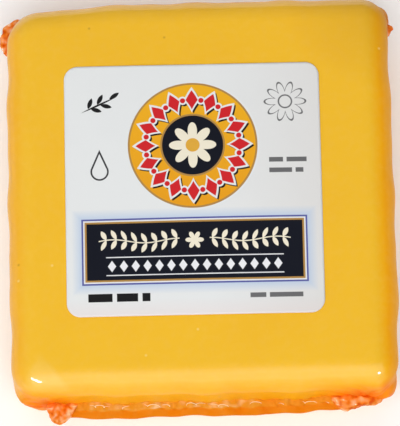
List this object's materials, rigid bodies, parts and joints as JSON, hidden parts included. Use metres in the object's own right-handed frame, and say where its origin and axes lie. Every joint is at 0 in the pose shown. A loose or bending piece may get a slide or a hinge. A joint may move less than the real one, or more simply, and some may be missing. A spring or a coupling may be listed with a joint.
{
  "type": "wrapped cheese block",
  "caption": "Small square block of cheese shrunk into a tinted film bag, with crinkled end seams, folded corner tabs and a paper label; lies on its flat back.",
  "frame": {"origin": "middle of the flat back face, which the block rests on", "axes": "+Z out of the label side, +Y towards the label's upper edge, +X to the label's right"},
  "size_m": [0.0923, 0.0994, 0.0272],
  "materials": {
    "tinted_film": "glossy yellow film over pale cheese, orange where the film is gathered",
    "label_paper": "satin coated paper"
  },
  "bodies": {
    "root": {"wrapped_block": "tinted_film", "front_label": "label_paper"}
  },
  "joints": []
}
